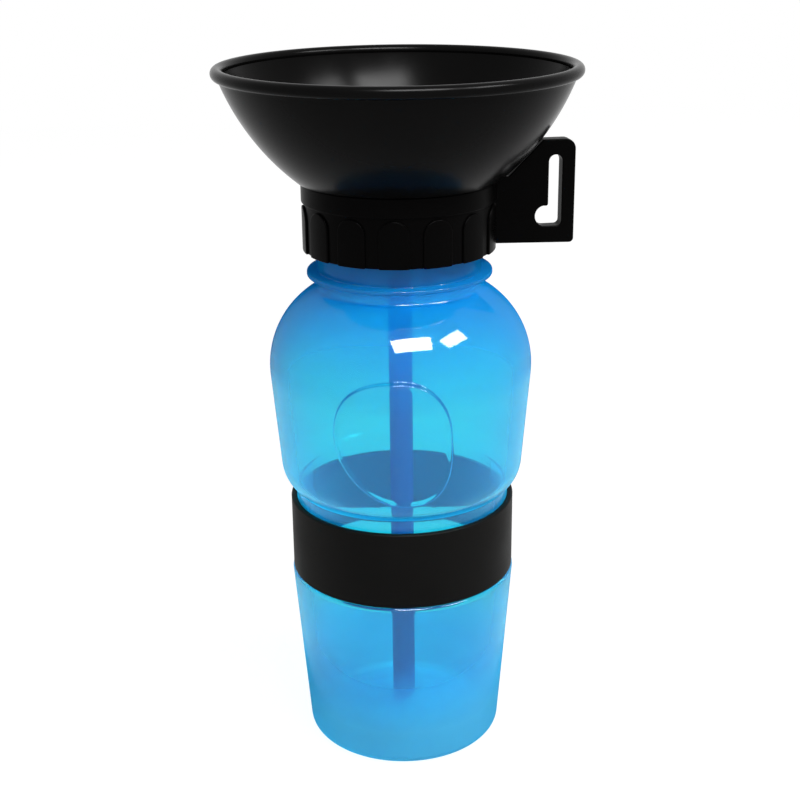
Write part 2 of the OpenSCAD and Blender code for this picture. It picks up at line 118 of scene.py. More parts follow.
def bearing(way: Vector) -> float:
    """A direction as an angle in degrees, from +r towards +z."""
    return math.degrees(math.atan2(way.y, way.x))


def bulge(centre: Point, radius: float, z: float, most: float = 0.99) -> Point:
    """Radius and lean, in radians, of an arc's outer side at a height, held short of its ends."""
    up = max(-most * radius, min(most * radius, z - centre[1]))
    return centre[0] + math.sqrt(radius ** 2 - up ** 2), math.asin(up / radius)


def softened(corners: Sequence[Corner], closed: bool, steps: int = 4, most: float = 0.45) -> list[Point]:
    """Turns each corner that has a rounding into a small tangent arc.

    Args:
        corners: radius, height and rounding of each corner, in order.
        closed: whether the last corner joins the first.
        steps: segments in each small arc.
        most: share of a side that one rounding may take.

    Returns:
        The points of the finished outline.
    """
    points: list[Point] = []
    count = len(corners)
    for i, (r, z, rounding) in enumerate(corners):
        if rounding <= 0 or not (closed or 0 < i < count - 1):
            points.append((r, z))
            continue
        here = Vector((r, z))
        back = Vector(corners[i - 1][:2]) - here
        ahead = Vector(corners[(i + 1) % count][:2]) - here
        half = back.angle(ahead) / 2
        reach = min(rounding / math.tan(half), most * back.length, most * ahead.length)
        radius = reach * math.tan(half)
        middle = here + (back.normalized() + ahead.normalized()).normalized() * radius / math.sin(half)
        first = here + back.normalized() * reach - middle
        last = here + ahead.normalized() * reach - middle
        sweep = math.atan2(first.x * last.y - first.y * last.x, first.dot(last))
        angle = math.atan2(first.y, first.x)
        for k in range(steps + 1):
            t = angle + sweep * k / steps
            points.append((middle.x + radius * math.cos(t), middle.y + radius * math.sin(t)))
    return points


def eased(points: Sequence[Point], closed: bool, straight: float = 2.3, end: float = 0.25) -> list[Point]:
    """Cuts long straight runs, with a short piece at each end that keeps shading off the flat.

    Args:
        points: the outline.
        closed: whether the last point joins the first.
        straight: runs longer than this are straight and are cut.
        end: length of the short pieces.

    Returns:
        The outline with its added points.
    """
    cut: list[Point] = []
    followers = list(points[1:]) + ([points[0]] if closed else [])
    for (r0, z0), (r1, z1) in zip(points, followers):
        cut.append((r0, z0))
        run = math.hypot(r1 - r0, z1 - z0)
        if run > straight:
            parts = max(1, round((run - 2 * end) / straight))
            shares = [(end + (run - 2 * end) * i / parts) / run for i in range(parts + 1)]
            cut += [(r0 + (r1 - r0) * s, z0 + (z1 - z0) * s) for s in shares]
    if not closed:
        cut.append(points[-1])
    return cut


def lathed(corners: Sequence[Corner], closed: bool = True, steps: int = ROUND_STEPS) -> BMesh:
    """Spins a section round the Z axis into a closed shell.

    Args:
        corners: the section; an open one starts and ends on the axis.
        closed: whether the last corner joins the first.
        steps: segments round the axis.

    Returns:
        The shell, with its faces outwards.
    """
    points = eased(softened(corners, closed), closed)
    mesh = bmesh.new()
    ring = [mesh.verts.new((r * MM, 0.0, z * MM)) for r, z in points]
    ends = ring[1:] + (ring[:1] if closed else [])
    edges = [mesh.edges.new(pair) for pair in zip(ring, ends)]
    bmesh.ops.spin(mesh, geom=ring + edges, cent=(0, 0, 0), axis=(0, 0, 1), dvec=(0, 0, 0),
                   angle=2 * math.pi, steps=steps, use_merge=True, use_duplicate=False)
    return sealed(mesh)


def sealed(mesh: BMesh, near: float = 1e-7, thin: float = 1e-8) -> BMesh:
    """Cleans a closed mesh and turns its faces outwards.

    Args:
        mesh: the mesh, in metres.
        near: corners closer than this are merged.
        thin: edges and faces thinner than this are dropped.

    Returns:
        The same mesh.
    """
    bmesh.ops.remove_doubles(mesh, verts=mesh.verts, dist=near)
    bmesh.ops.dissolve_degenerate(mesh, dist=thin, edges=mesh.edges)
    bmesh.ops.recalc_face_normals(mesh, faces=mesh.faces)
    return mesh


def ridge(root_r: float, crest_r: float, start: float, rise: float, turns: float,
          root_half: float = 1.0, crest_half: float = 0.45, fade: float = 0.1) -> BMesh:
    """A screw thread: a ridge that climbs round the axis and dies away at both ends.

    Args:
        root_r: radius of its root, to which its ends sink.
        crest_r: radius of its crest.
        start: height of its middle at its lower end.
        rise: climb in one turn.
        turns: length in turns.
        root_half: half of its width at the root.
        crest_half: half of its width at the crest.
        fade: share of a turn over which it dies away.

    Returns:
        The closed ridge.
    """
    section = [(root_r, start - root_half), (crest_r, start - crest_half),
               (crest_r, start + crest_half), (root_r, start + root_half)]
    steps = round(turns * THREAD_STEPS)
    mesh = bmesh.new()
    face = mesh.faces.new([mesh.verts.new((r * MM, 0.0, z * MM)) for r, z in section])
    bmesh.ops.spin(mesh, geom=[face], cent=(0, 0, 0), axis=(0, 0, 1),
                   dvec=(0, 0, rise * turns / steps * MM), angle=2 * math.pi * turns, steps=steps)
    for v in mesh.verts:
        part = (math.atan2(v.co.y, v.co.x) / (2 * math.pi)) % 1.0
        along = part + round((v.co.z / MM - start) / rise - part)
        grown = max(THREAD_END, min(1.0, along / fade, (turns - along) / fade))
        radius = math.hypot(v.co.x, v.co.y)
        wanted = root_r * MM + (radius - root_r * MM) * grown
        v.co.x *= wanted / radius
        v.co.y *= wanted / radius
    return sealed(mesh)


def moulded(outline: Sequence[Point], holes: Sequence[Sequence[Point]], thickness: float,
            rounding: float, columns: Sequence[float] = (), both: bool = True) -> BMesh:
    """A flat moulding with rounded edges, lying on z = 0 and growing towards +Z.

    Args:
        outline: its outside, in the XY plane.
        holes: outlines of what goes through it.
        thickness: its full thickness.
        rounding: radius of its edges.
        columns: x positions at which its faces are cut, so that it can be bent.
        both: whether the underside's edges are rounded too.

    Returns:
        The closed moulding.
    """
    mesh = bmesh.new()
    edges = []
    for loop in [outline, *holes]:
        ring = [mesh.verts.new((x, y, 0.0)) for x, y in loop]
        edges += [mesh.edges.new(pair) for pair in zip(ring, ring[1:] + ring[:1])]
    bmesh.ops.triangle_fill(mesh, edges=edges, use_beauty=True, use_dissolve=False, normal=(0, 0, 1))
    low = rounding if both else 0.0
    bmesh.ops.translate(mesh, verts=mesh.verts, vec=(0, 0, low))
    under = list(mesh.faces)
    grown = bmesh.ops.extrude_face_region(mesh, geom=under)["geom"]
    upper = [f for f in grown if isinstance(f, bmesh.types.BMFace)]
    bmesh.ops.translate(mesh, verts=list({v for f in upper for v in f.verts}),
                        vec=(0, 0, thickness - low - rounding))
    bmesh.ops.recalc_face_normals(mesh, faces=mesh.faces)
    for cap in (upper, under) if both else (upper,):
        roll_edge(mesh, cap, rounding)
    for x in columns:
        bmesh.ops.bisect_plane(mesh, geom=list(mesh.verts) + list(mesh.edges) + list(mesh.faces),
                               dist=1e-4, plane_co=(x, 0, 0), plane_no=(1, 0, 0))
    bmesh.ops.scale(mesh, verts=mesh.verts, vec=(MM, MM, MM))
    return mesh


def roll_edge(mesh: BMesh, cap: list[bmesh.types.BMFace], rounding: float, steps: int = 4) -> None:
    """Rounds the edge of a flat cap by insets that climb a quarter circle.

    Args:
        mesh: the moulding, still in millimetres, because an inset fails on lengths near zero.
        cap: the faces of one of its flats.
        rounding: radius of the edge.
        steps: segments in the quarter circle.
    """
    for k in range(steps):
        a, b = (math.pi / 2 * k / steps, math.pi / 2 * (k + 1) / steps)
        mesh.normal_update()
        bmesh.ops.inset_region(mesh, faces=cap, use_even_offset=True, use_boundary=True,
                               thickness=rounding * (math.cos(a) - math.cos(b)),
                               depth=rounding * (math.sin(b) - math.sin(a)))


# Shader nodes


class Level:
    """One output socket of a node tree, with arithmetic that adds Math nodes."""

    def __init__(self, nodes: "Nodes", socket: bpy.types.NodeSocket | None) -> None:
        """Keeps the tree and the socket."""
        self.nodes = nodes
        self.socket = socket

    def _math(self, operation: str, first: Any, second: Any) -> "Level":
        """Adds a Math node for two values."""
        return self.nodes.add("ShaderNodeMath", {"operation": operation}, {0: first, 1: second})

    def __add__(self, other: Any) -> "Level":
        """The sum."""
        return self._math("ADD", self, other)

    def __sub__(self, other: Any) -> "Level":
        """The difference."""
        return self._math("SUBTRACT", self, other)

    def __mul__(self, other: Any) -> "Level":
        """The product."""
        return self._math("MULTIPLY", self, other)

    def __rsub__(self, other: Any) -> "Level":
        """The difference with a plain number in front."""
        return self._math("SUBTRACT", other, self)

    def __or__(self, other: Any) -> "Level":
        """The larger of the two."""
        return self._math("MAXIMUM", self, other)

    __radd__ = __add__
    __rmul__ = __mul__


class Nodes:
    """Builds one node tree."""

    def __init__(self, tree: bpy.types.NodeTree) -> None:
        """Empties the tree."""
        self.tree = tree
        tree.nodes.clear()

    def add(self, kind: str, settings: dict[str, Any] | None = None,
            inputs: dict[Any, Any] | None = None, output: Any = 0) -> Level:
        """Adds a node.

        Args:
            kind: the node's type.
            settings: its properties.
            inputs: values or links of its sockets, by name or number.
            output: which output is returned, by name or number.

        Returns:
            The chosen output.
        """
        node = self.tree.nodes.new(kind)
        for name, value in (settings or {}).items():
            setattr(node, name, value)
        for name, value in (inputs or {}).items():
            if isinstance(value, Level):
                self.tree.links.new(value.socket, node.inputs[name])
            else:
                node.inputs[name].default_value = value
        return Level(self, node.outputs[output] if len(node.outputs) else None)

    def spot(self) -> Level:
        """The place on the piece, in metres."""
        return self.add("ShaderNodeTexCoord", output="Object")

    def noise(self, scale: float, detail: float, stretch: Place = (1, 1, 1), fine: float = 0.55) -> Level:
        """A cloud pattern.

        Args:
            scale: patches in a metre.
            detail: octaves of finer patches.
            stretch: how much denser the patches lie along each axis.
            fine: how strong each octave is against the one before.

        Returns:
            The pattern, from 0 to 1.
        """
        spot = self.add("ShaderNodeMapping", inputs={"Vector": self.spot(), "Scale": stretch})
        return self.add("ShaderNodeTexNoise", inputs={
            "Vector": spot, "Scale": scale, "Detail": detail, "Roughness": fine}, output="Fac")

    def between(self, share: Level, low: float, high: float, first: float = 0.3,
                last: float = 0.7) -> Level:
        """Spreads a pattern from low, where it is first or less, to high, where it is last or more."""
        return self.add("ShaderNodeMapRange", {"clamp": True}, {
            "Value": share, "From Min": first, "From Max": last, "To Min": low, "To Max": high})

    def blend(self, share: Any, first: Any, second: Any) -> Level:
        """A colour between two, from the first at 0 to the second at 1."""
        return self.add("ShaderNodeMix", {"data_type": "RGBA"}, {0: share, 6: first, 7: second}, 2)

    def bump(self, height: Level, distance: float) -> Level:
        """The normal of a rough surface whose height of 1 measures this distance in millimetres."""
        return self.add("ShaderNodeBump", inputs={
            "Height": height, "Distance": distance * MM, "Strength": 1.0}, output="Normal")

    def mix(self, share: Any, first: Level, second: Level) -> Level:
        """A shader between two."""
        return self.add("ShaderNodeMixShader", inputs={0: share, 1: first, 2: second})

    def ray(self, *kinds: str) -> Level:
        """Tells rays apart.

        Args:
            kinds: outputs of the Light Path node.

        Returns:
            1 for rays of any of these kinds, and 0 for the rest.
        """
        found = self.add("ShaderNodeLightPath", output=kinds[0])
        for kind in kinds[1:]:
            found = found | self.add("ShaderNodeLightPath", output=kind)
        return found

    def looking(self) -> Level:
        """1 for rays that show a surface to the camera, also through glass or in a gloss."""
        return self.ray("Is Camera Ray", "Is Glossy Ray", "Is Transmission Ray")


def rgba(colour: Colour) -> tuple[float, float, float, float]:
    """A colour with full alpha."""
    return (*colour, 1.0)


# Finishes


@dataclass(frozen=True)
class Finish:
    """A material, named for the piece that wears it."""

    name: str
    slot: Slot

    def material(self) -> bpy.types.Material:
        """Makes the material the first time it is asked for.

        Returns:
            The finished material.
        """
        found = bpy.data.materials.get(self.name)
        if found is None:
            found = bpy.data.materials.new(self.name)
            found.use_nodes = True
            nodes = Nodes(found.node_tree)
            nodes.add("ShaderNodeOutputMaterial", inputs={"Surface": self.surface(nodes)})
        return found

    def surface(self, nodes: Nodes) -> Level:
        """The shader of the surface."""
        raise NotImplementedError


@dataclass(frozen=True)
class BluePlastic(Finish):
    """Clear blue plastic with a haze in it, both deepened in the neck as painted shade.

    The shares say how much of the surface is haze: all over, at a glancing view, in the
    shoulder, in the neck and towards the foot. The shoulder's extra haze is painted light
    where it faces the lamps. At a glancing view the shoulder turns to the neck's haze, which,
    with the neck's deeper tint, is painted shade from the bowl and collar above. The haze
    towards the foot is partly the thicker base and partly painted shade of the shadowed floor
    seen through it. The shoulder, neck and foot are the heights between which each of these
    grows. The ripple is the depth of the wall's waves.
    """

    tint: Colour
    neck_shade_tint: Colour
    haze: Colour
    edge_haze: Colour
    neck_shade_haze: Colour
    foot_haze_and_shade: Colour
    share: float
    specular: float
    smooth: float
    rough: float
    edge_share: float = 0.0
    lit_shoulder_share: float = 0.0
    neck_shade_share: float = 0.0
    foot_haze_and_shade_share: float = 0.0
    shoulder: Point = (136.0, 143.0)
    neck: Point = (146.0, 182.0)
    foot: Point = (42.0, 14.0)
    ior: float = 1.46
    ripple: float = 0.01
    ripples: float = 130.0
    clouds: float = 55.0

    def cloudy(self, nodes: Nodes, colour: Colour) -> Level:
        """Haze of one colour, which sends half of the light back and passes half on.

        Args:
            nodes: the material's nodes.
            colour: the colour of the haze.

        Returns:
            The shader.
        """
        back = nodes.add("ShaderNodeBsdfDiffuse", inputs={"Color": rgba(colour)})
        on = nodes.add("ShaderNodeBsdfTranslucent", inputs={"Color": rgba(colour)})
        return nodes.mix(0.5, back, on)

    def surface(self, nodes: Nodes) -> Level:
        """Bent light, a little haze, and coloured light for what stands behind.

        Args:
            nodes: the material's nodes.

        Returns:
            The shader.
        """
        height = nodes.add("ShaderNodeSeparateXYZ", inputs={0: nodes.spot()}, output="Z")
        shoulder, neck, foot = (nodes.between(height, 0.0, 1.0, start * MM, end * MM)
                                for start, end in (self.shoulder, self.neck, self.foot))
        edge = nodes.add("ShaderNodeLayerWeight", inputs={"Blend": 0.5}, output="Facing")
        clouds = nodes.noise(self.clouds, 2.0)
        shape = nodes.bump(nodes.noise(self.ripples, 2.0, (1, 1, 0.6)), self.ripple)
        # Painted shade: deeper tint and haze in the neck, and at the shoulder's glancing sides.
        tint = nodes.blend(neck * neck, rgba(self.tint), rgba(self.neck_shade_tint))
        haze = nodes.mix(edge, self.cloudy(nodes, self.haze), self.cloudy(nodes, self.edge_haze))
        haze = nodes.mix(neck | (edge * shoulder), haze, self.cloudy(nodes, self.neck_shade_haze))
        # Haze towards the foot: partly the thicker base, partly painted shade of the floor beneath.
        haze = nodes.mix(foot, haze, self.cloudy(nodes, self.foot_haze_and_shade))
        glass = nodes.add("ShaderNodeBsdfPrincipled", inputs={
            "Base Color": tint, "Transmission Weight": 1.0, "IOR": self.ior,
            "Specular IOR Level": self.specular,
            "Roughness": nodes.between(clouds, self.smooth, self.rough), "Normal": shape})
        # The shoulder's extra haze is painted light where it faces the lamps.
        share = (self.share + self.edge_share * edge * edge + self.lit_shoulder_share * shoulder
                 + self.neck_shade_share * neck + self.foot_haze_and_shade_share * foot)
        body = nodes.mix(share, glass, haze)
        passed = tuple(math.sqrt(c) for c in self.tint)
        lamps = nodes.add("ShaderNodeBsdfTransparent", inputs={"Color": rgba(passed)})
        return nodes.mix(nodes.ray("Is Shadow Ray"), body, lamps)


@dataclass(frozen=True)
class SolidPlastic(Finish):
    """Opaque moulded plastic or rubber, with a fine grain of this depth and size."""

    colour: Colour
    worn: Colour
    specular: float
    smooth: float
    rough: float
    grain: float
    grain_size: float
    clouds: float = 38.0
    speckle: float = 0.35

    def surface(self, nodes: Nodes) -> Level:
        """A faintly uneven gloss over a fine grain.

        Args:
            nodes: the material's nodes.

        Returns:
            The shader.
        """
        clouds = nodes.noise(self.clouds, 4.0)
        grain = nodes.noise(1 / (self.grain_size * MM), 2.0)
        colour = nodes.blend(nodes.between(clouds, 0.0, 1.0), rgba(self.colour), rgba(self.worn))
        gloss = nodes.between(clouds + self.speckle * (grain - 0.5), self.smooth, self.rough)
        return nodes.add("ShaderNodeBsdfPrincipled", inputs={
            "Base Color": colour, "Specular IOR Level": self.specular, "Roughness": gloss,
            "Normal": nodes.bump(grain, self.grain)})


TUBE_CLEAR = (0.48, 0.34, 0.68)
TUBE_HAZE = (0.22, 0.14, 0.44)
# The bottle's neck tint and neck haze are painted shade, its extra shoulder haze is painted light, and its
# foot haze is partly painted shade.
BOTTLE_BLUE = BluePlastic(
    "bottle_blue", Slot.BOTTLE, tint=(0.15, 0.88, 0.88), neck_shade_tint=(0.03, 0.48, 0.8),
    haze=(0.02, 0.31, 0.88), edge_haze=(0.06, 0.58, 0.86), neck_shade_haze=(0.002, 0.29, 0.64),
    foot_haze_and_shade=(0.13, 0.58, 0.8), share=0.12, edge_share=0.75, lit_shoulder_share=0.1,
    neck_shade_share=0.5, foot_haze_and_shade_share=0.66, specular=0.12, smooth=0.015, rough=0.05)
TUBE_BLUE = BluePlastic(
    "tube_blue", Slot.TUBE, tint=TUBE_CLEAR, neck_shade_tint=TUBE_CLEAR, haze=TUBE_HAZE,
    edge_haze=TUBE_HAZE, neck_shade_haze=TUBE_HAZE, foot_haze_and_shade=TUBE_HAZE, share=0.5, specular=0.3,
    smooth=0.1, rough=0.14)
BOWL_BLACK = SolidPlastic(
    "bowl_black", Slot.BLACK, colour=(0.0022, 0.0021, 0.0021), worn=(0.003, 0.0029, 0.0028),
    specular=0.038, smooth=0.18, rough=0.25, grain=0.004, grain_size=0.5)
COLLAR_BLACK = SolidPlastic(
    "collar_black", Slot.BLACK, colour=(0.0012, 0.0011, 0.0011), worn=(0.0016, 0.0015, 0.0015),
    specular=0.018, smooth=0.26, rough=0.36, grain=0.006, grain_size=0.5)
BAND_BLACK = SolidPlastic(
    "band_black", Slot.BAND, colour=(0.003, 0.0029, 0.0027), worn=(0.0045, 0.0044, 0.0041),
    specular=0.05, smooth=0.45, rough=0.6, grain=0.015, grain_size=0.6)
SEAL_GREY = SolidPlastic(
    "seal_grey", Slot.SEAL, colour=(0.62, 0.64, 0.64), worn=(0.55, 0.57, 0.57),
    specular=0.4, smooth=0.42, rough=0.55, grain=0.01, grain_size=0.8)
ROTOR_WHITE = SolidPlastic(
    "rotor_white", Slot.ROTOR, colour=(0.72, 0.73, 0.74), worn=(0.66, 0.67, 0.68),
    specular=0.5, smooth=0.28, rough=0.4, grain=0.006, grain_size=0.7)


# Pieces


def mesh_data(name: str, mesh: BMesh) -> bpy.types.Mesh:
    """Turns a mesh into mesh data.

    Args:
        name: the data's name.
        mesh: the mesh, which is freed.

    Returns:
        The new data.
    """
    data = bpy.data.meshes.new(name)
    mesh.to_mesh(data)
    mesh.free()
    return data


def linked(name: str, data: bpy.types.ID) -> bpy.types.Object:
    """Puts a new object into the scene.

    Args:
        name: its name.
        data: its mesh, lamp or camera.

    Returns:
        The object.
    """
    made = bpy.data.objects.new(name, data)
    bpy.context.scene.collection.objects.link(made)
    return made


@dataclass
class Assembly:
    """What the sub-assemblies share: a mesh becomes a piece that rides on a body."""

    def piece(self, name: str, mesh: BMesh, finish: Finish, body: Body, *nodes: str,
              flats: bool = False) -> bpy.types.Object:
        """Makes a piece.

        Args:
            name: its name.
            mesh: its shape, in metres, in place.
            finish: its material.
            body: the CAD body that it rides on.
            nodes: CAD nodes that it stands for.
            flats: whether its flats keep their own shading up to their rounded edges.

        Returns:
            The piece.
        """
        data = mesh_data(name, mesh)
        data.shade_smooth()
        data.materials.append(finish.material())
        made = linked(name, data)
        if flats:
            made.modifiers.new("flats", "WEIGHTED_NORMAL").keep_sharp = False
        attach(made, body.value)
        if nodes:
            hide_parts(*nodes)
        LOG.info("%s: %d faces, rides on %s", name, len(data.polygons), body.value)
        return made

    def carve(self, made: bpy.types.Object, cutter: BMesh) -> None:
        """Cuts a closed mesh out of a piece.

        Args:
            made: the piece.
            cutter: the mesh to cut away.
        """
        tool = linked("cutter", mesh_data("cutter", cutter))
        cut = made.modifiers.new("cut", "BOOLEAN")
        cut.operation, cut.solver, cut.object = "DIFFERENCE", "EXACT", tool
        seen = made.evaluated_get(bpy.context.evaluated_depsgraph_get())
        made.data = bpy.data.meshes.new_from_object(seen)
        made.modifiers.remove(cut)
        bpy.data.objects.remove(tool)


@dataclass
class SqueezePanel:
    """The egg-shaped panel that stands out from the front of the belly.

    Its fullness is 2 for a quarter of an ellipse and more for a squarer corner: lower left
    and right, then upper left and right. Its core is the share of the way to its outline
    within which a place simply counts as deep inside.
    """

    out: float = 0.9
    left: float = 22.2
    right: float = 16.7
    up: float = 20.8
    down: float = 23.6
    below: float = 13.1
    drift: float = 0.05
    fullness: tuple[Point, Point] = ((1.9, 2.6), (2.6, 2.2))
    turn: float = -99.0
    ramp: float = 1.15
    lip: float = 0.45
    lip_w: float = 0.85
    margin: float = 1.9
    cuts: int = 4
    core: float = 0.3
    deep: float = -10.0

    def inside(self, across: float, height: float) -> float:
        """How far a place on the belly lies outside the panel's outline.

        Args:
            across: sideways place, from the panel's middle.
            height: place above the panel's middle.

        Returns:
            The distance, below zero on the panel.
        """
        x = across - self.drift * max(0.0, -height)
        rx = self.left if x < 0 else self.right
        ry = self.up if height > 0 else self.down
        n = self.fullness[height > 0][x > 0]
        a, b = abs(x) / rx, abs(height) / ry
        k = (a ** n + b ** n) ** (1 / n)
        slope = math.hypot(a ** (n - 1) / rx, b ** (n - 1) / ry)
        return (k - 1) * k ** (n - 1) / slope if k > self.core else self.deep

    def press(self, mesh: BMesh, bottle: "Bottle") -> None:
        """Raises the panel on the bottle's outer skin.

        Args:
            mesh: the bottle, in metres.
            bottle: its sizes.
        """
        middle = bottle.belly_z - self.below
        unturn = Matrix.Rotation(-math.radians(self.turn), 3, "Z")

        def off(co: Vector) -> float | None:
            """How far a place lies outside the panel.

            Args:
                co: the place, in metres.

            Returns:
                The distance, or None off the outer skin of this side.
            """
            place = unturn @ co / MM
            if place.x < 0 or math.hypot(co.x, co.y) / MM < bottle.side(place.z)[0] - bottle.wall / 2:
                return None
            return self.inside(place.y, place.z - middle)

        near = [(f, off(f.calc_center_median())) for f in mesh.faces]
        zone = [f for f, far in near if far is not None and -self.ramp - self.margin < far < self.margin]
        edges = list({e for f in zone for e in f.edges})
        bmesh.ops.subdivide_edges(mesh, edges=edges, cuts=self.cuts, use_grid_fill=True)
        touched = 2 * self.margin + 1
        for v in mesh.verts:
            far = off(v.co)
            if far is None or far > touched:
                continue
            radius, lean = bottle.side(v.co.z / MM)
            share = min(1.0, max(0.0, -far / self.ramp))
            lip = self.lip * math.exp(-((far + self.ramp) / self.lip_w) ** 2)
            lift = (self.out + lip) * share * share * (3 - 2 * share)
            turn = math.atan2(v.co.y, v.co.x)
            r = (radius + lift * math.cos(lean)) * MM
            v.co = (r * math.cos(turn), r * math.sin(turn), v.co.z + lift * math.sin(lean) * MM)


@dataclass
class Bottle(Assembly):
    """The squeeze bottle, with the rubber band in its waist."""

    cup_r: float = 35.0
    cup_lean: float = 4.5
    cup_h: float = 65.3
    foot_round: float = 4.0
    stand_w: float = 7.0
    push_up: float = 3.5
    cup_round: float = 1.2
    ledge: float = 2.3
    waist_h: float = 31.6
    belly_out: float = 7.7
    low_round: float = 12.0
    belly_side: float = 32.6
    belly_lean: float = 4.8
    shoulder_round: float = 31.1
    wall: float = 1.5
    neck_r: float = 27.6
    neck_wall: float = 2.0
    neck_fillet: float = 3.5
    flange_gap: float = 1.9
    flange_t: float = 1.6
    flange_out: float = 3.8
    neck_h: float = 26.0
    thread_pitch: float = 3.175
    thread_depth: float = 1.35
    thread_turns: float = 1.5
    thread_drop: float = 5.3
    thread_sink: float = 0.1
    band_t: float = 2.0
    band_space: float = 4.3
    seat_gap: float = 0.05
    panel: SqueezePanel = field(default_factory=SqueezePanel)

    def __post_init__(self) -> None:
        """Works out where the curves meet."""
        lean, side = math.radians(self.cup_lean), math.radians(self.belly_lean)
        self.foot_c = self.cup_r - self.foot_round
        self.foot_in = self.foot_c - self.stand_w
        self.dome_r = bowed(self.foot_in, self.push_up)
        self.ledge_c = (self.foot_c + (self.cup_h - self.cup_round - self.foot_round) * math.tan(lean)
                        + (self.foot_round - self.cup_round) / math.cos(lean))
        self.waist_r = self.ledge_c + self.cup_round - self.ledge
        self.crease_z = self.cup_h + self.waist_h
        self.belly_r = self.waist_r + self.belly_out
        self.shoulder_c = self.belly_r - self.shoulder_round
        self.low_c = (self.shoulder_c + (self.shoulder_round - self.low_round) * math.cos(side)
                      - self.belly_side * math.sin(side))
        self.low_z = self.crease_z + math.sqrt(self.low_round ** 2 - (self.waist_r - self.low_c) ** 2)
        self.belly_z = (self.low_z + (self.shoulder_round - self.low_round) * math.sin(side)
                        + self.belly_side * math.cos(side))
        reach = self.neck_r + self.neck_fillet - self.shoulder_c
        self.fillet_a = math.degrees(math.acos(reach / (self.shoulder_round + self.neck_fillet)))
        self.fillet_z = self.belly_z + (self.shoulder_round + self.neck_fillet) * math.sin(
            math.radians(self.fillet_a))
        self.flange_z = self.fillet_z + self.flange_gap
        self.lip_z = self.flange_z + self.neck_h
        self.bore_r = self.neck_r - self.neck_wall

    def side(self, z: float) -> tuple[float, float]:
        """The belly's outer skin at a height.

        Args:
            z: the height.

        Returns:
            The skin's radius there, and its lean in radians, above zero where it faces up.
        """
        side = math.radians(self.belly_lean)
        if z < self.low_z - self.low_round * math.sin(side):
            return bulge((self.low_c, self.low_z), self.low_round, z)
        if z > self.belly_z - self.shoulder_round * math.sin(side):
            return bulge((self.shoulder_c, self.belly_z), self.shoulder_round, z)
        line = self.shoulder_c * math.cos(side) - self.belly_z * math.sin(side) + self.shoulder_round
        return (line + z * math.sin(side)) / math.cos(side), -side

    def skin(self, w: float, end: float) -> list[Corner]:
        """Half section of the bottle below its neck.

        Args:
            w: how far the skin lies inside the outer one.
            end: angle at which the shoulder ends.

        Returns:
            The corners, from the axis at the foot to the shoulder's end.
        """
        dome = self.dome_r + w
        brim = math.degrees(math.asin((self.dome_r - self.push_up + w) / dome))
        waist = -math.degrees(math.acos((self.waist_r - w - self.low_c) / (self.low_round - w)))
        foot = rounded(arc((0.0, self.push_up - self.dome_r), dome, 90, brim, 18), last=1.0)
        low = rounded(arc((self.low_c, self.low_z), self.low_round - w, waist, -self.belly_lean, 10),
                      first=0.6)
        lean = math.radians(self.cup_lean)
        edge_r = self.ledge_c + (self.cup_round - w) * (1 / math.cos(lean) + math.tan(lean))
        return [
            *foot, *arc((self.foot_c, self.foot_round), self.foot_round - w, -90, -self.cup_lean, 10),
            (edge_r, self.cup_h - w, max(0.4, self.cup_round - w)),
            (self.waist_r - w, self.cup_h - w, 0.5), *low,
            *arc((self.shoulder_c, self.belly_z), self.shoulder_round - w, -self.belly_lean, end, 30)]

    def build(self) -> None:
        """Makes the bottle, its thread and the band."""
        outer = self.skin(0.0, self.fillet_a)
        neck = arc((self.neck_r + self.neck_fillet, self.fillet_z), self.neck_fillet,
                   180 + self.fillet_a, 180, 8)
        rim = self.neck_r + self.flange_out
        top = self.flange_z + self.flange_t
        reach = self.bore_r - self.shoulder_c
        bore_end = math.degrees(math.acos(reach / (self.shoulder_round - self.wall)))
        inner = rounded(self.skin(self.wall, bore_end), last=1.6)
        mesh = lathed([
            *outer, *neck, (self.neck_r, self.flange_z, 0.4), (rim, self.flange_z, 0.5), (rim, top, 0.5),
            (self.neck_r, top, 0.4), (self.neck_r, self.lip_z, 0.5), (self.bore_r, self.lip_z, 0.5),
            *reversed(inner)], closed=False)
        self.panel.press(mesh, self)
        self.piece("bottle_shell", mesh, BOTTLE_BLUE, Body.BOTTLE, "bottle")
        start = self.lip_z - self.thread_drop - self.thread_turns * self.thread_pitch
        thread = ridge(self.neck_r - self.thread_sink, self.neck_r + self.thread_depth, start,
                       self.thread_pitch, self.thread_turns)
        self.piece("neck_thread", thread, BOTTLE_BLUE, Body.BOTTLE)
        low = self.cup_h + self.seat_gap
        high = low + self.waist_h - self.band_space
        inside = self.waist_r + self.seat_gap
        outside = inside + self.band_t
        self.piece("waist_band", lathed([
            (inside, low, 0.3), (outside, low, 0.55), (outside, high, 0.55), (inside, high, 0.4)]),
            BAND_BLACK, Body.BOTTLE, "grip_band")


@dataclass
class DipTube(Assembly):
    """The tube that the water climbs."""

    radius: float = 4.1
    wall: float = 1.0
    low: float = 7.2
    high: float = 186.06
    cut: float = 20.0
    cut_reach: float = 12.0

    def build(self) -> None:
        """Makes the tube with its slanted foot."""
        bore = self.radius - self.wall
        mesh = lathed([(bore, self.low, 0.2), (self.radius, self.low, 0.2), (self.radius, self.high, 0.2),
                       (bore, self.high, 0.2)], steps=64)
        for v in mesh.verts:
            near = max(0.0, 1 - (v.co.z / MM - self.low) / self.cut_reach)
            v.co.z += near * (v.co.x + self.radius * MM) * math.tan(math.radians(self.cut))
        self.piece("dip_tube_pipe", mesh, TUBE_BLUE, Body.COLLAR, "dip_tube")


